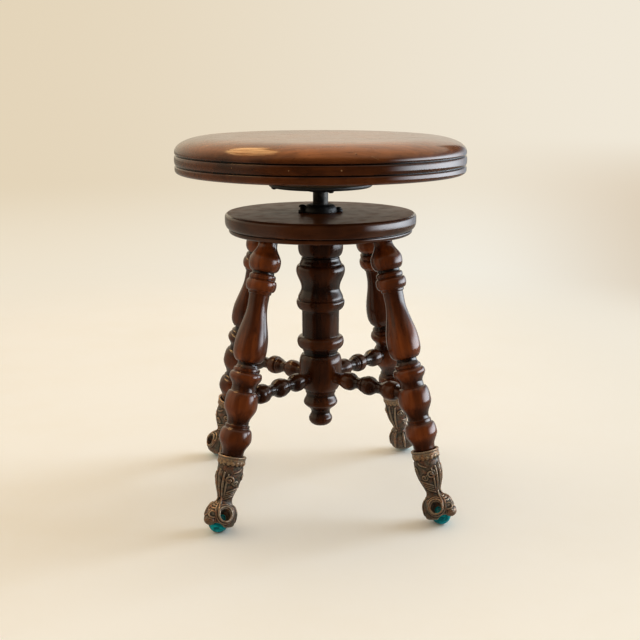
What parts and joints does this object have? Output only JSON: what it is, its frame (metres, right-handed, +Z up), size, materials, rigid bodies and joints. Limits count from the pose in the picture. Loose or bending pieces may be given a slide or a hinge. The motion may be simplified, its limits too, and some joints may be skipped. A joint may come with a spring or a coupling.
{
  "type": "revolving piano stool",
  "caption": "Round wooden seat on a steel screw that turns in an iron nut, over a turned centre post and splayed turned legs ending in brass claw feet that grip glass balls.",
  "frame": {"origin": "on the floor, at the centre below the seat's screw", "axes": "+Z up along the screw's axis; the four legs stand on the diagonals between X and Y; the picture's front is about -Y"},
  "size_m": [0.356, 0.356, 0.4551],
  "materials": {
    "seat_wood": "worn dark walnut varnish, glossy, with rubbed patches and small chips",
    "cleat_wood": "plain dark stained wood under the seat",
    "stand_wood": "glossy dark mahogany varnish, darker in the turned grooves",
    "black_iron": "black japanned cast iron, satin",
    "screw_iron": "old dark steel with a film of oil",
    "washer_iron": "worn steel",
    "brass": "dark aged brass, dull in the hollows and brighter on the high points",
    "teal_glass": "clear teal-blue glass"
  },
  "bodies": {
    "base": {"screw_nut": "black_iron", "nut_screws": "screw_iron", "platform": "stand_wood", "column": "stand_wood", "leg_1": "stand_wood", "leg_2": "stand_wood", "leg_3": "stand_wood", "leg_4": "stand_wood", "stretcher_1": "stand_wood", "stretcher_2": "stand_wood", "stretcher_3": "stand_wood", "stretcher_4": "stand_wood", "claw_foot_1": "brass", "claw_foot_2": "brass", "claw_foot_3": "brass", "claw_foot_4": "brass", "glass_ball_1": "teal_glass", "glass_ball_2": "teal_glass", "glass_ball_3": "teal_glass", "glass_ball_4": "teal_glass", "ferrule_pins": "brass"},
    "turning_ring": {"thrust_washer": "washer_iron"},
    "seat_unit": {"seat": "seat_wood", "seat_cleat": "cleat_wood", "seat_plate": "black_iron", "plate_screws": "screw_iron", "seat_screw": "screw_iron"}
  },
  "joints": [
    {"name": "seat_turn", "type": "hinge", "parent": "base", "child": "turning_ring", "pos_m": [0, 0, 0.3705], "axis": [0, 0, 1], "range_deg": [0, 7200]},
    {"name": "seat_lift", "type": "slide", "parent": "turning_ring", "child": "seat_unit", "axis": [0, 0, 1], "range_m": [0, 0.127]}
  ],
  "couplings": [
    {"joint": "seat_lift", "follows": "seat_turn", "m_per_rad": 0.0010106}
  ]
}
